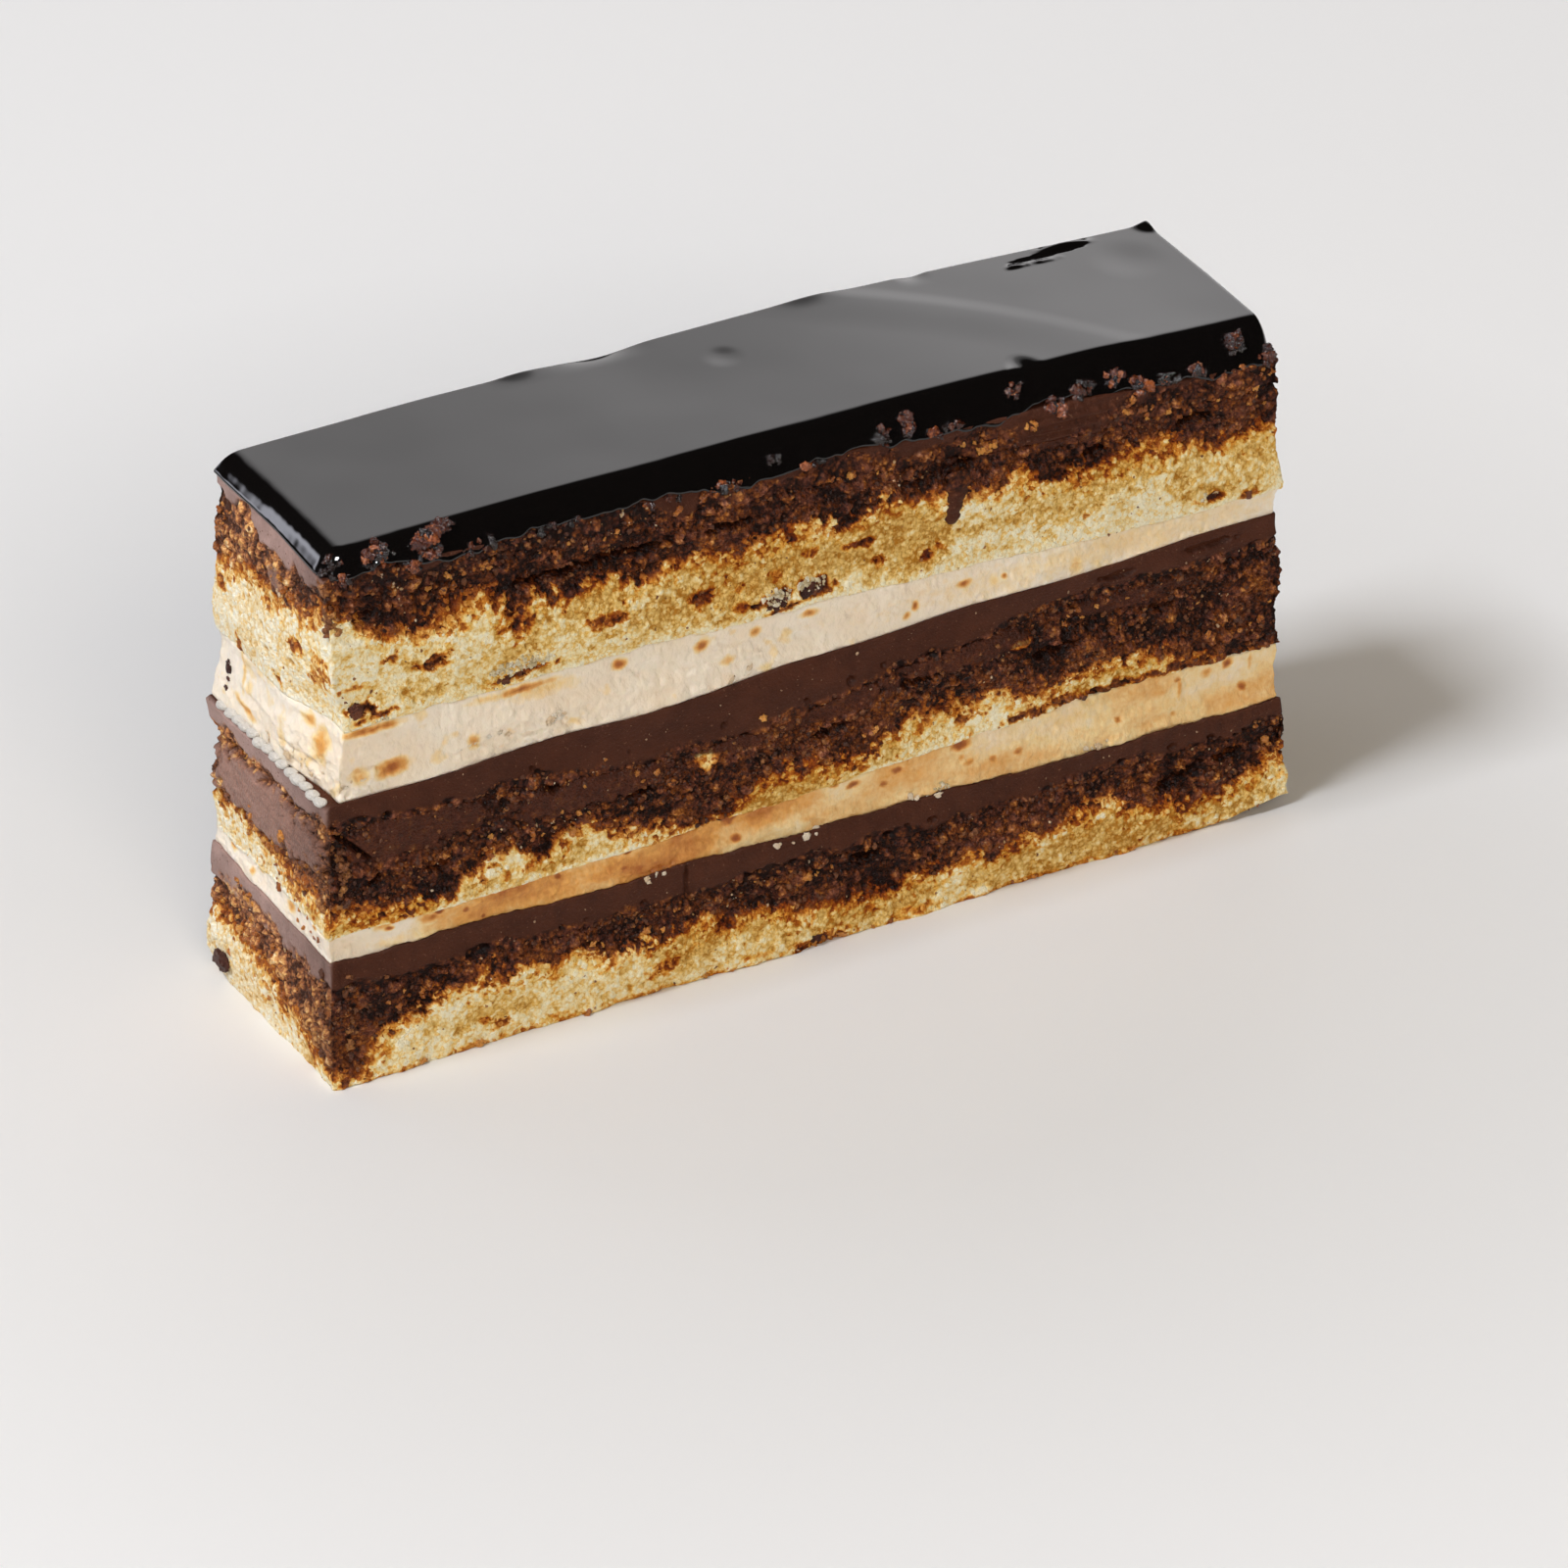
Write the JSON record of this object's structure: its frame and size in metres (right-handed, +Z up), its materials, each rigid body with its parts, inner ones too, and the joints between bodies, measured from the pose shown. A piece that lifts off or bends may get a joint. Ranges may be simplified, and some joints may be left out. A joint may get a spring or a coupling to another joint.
{
  "type": "opera cake slice",
  "caption": "Upright slice of opera cake: soaked sponge, pale cream and dark ganache layers under a glossy chocolate glaze.",
  "frame": {"origin": "middle of the slice's bottom, on the surface it stands on", "axes": "+X along the slice's long side, +Y from the front cut to the back cut, +Z up through the layers to the glaze"},
  "size_m": [0.1206, 0.0308, 0.0645],
  "materials": {
    "sponge": "porous pale yellow sponge, soaked dark brown in places",
    "cream": "smooth ivory cream with a soft sheen, cut with a knife",
    "ganache": "dense dark chocolate, satin where cut",
    "glaze": "mirror-gloss black chocolate glaze"
  },
  "bodies": {
    "root": {"bottom_sponge": "sponge", "lower_ganache": "ganache", "lower_cream": "cream", "middle_sponge": "sponge", "middle_ganache": "ganache", "upper_cream": "cream", "top_sponge": "sponge", "top_ganache": "ganache", "glaze": "glaze"}
  },
  "joints": []
}
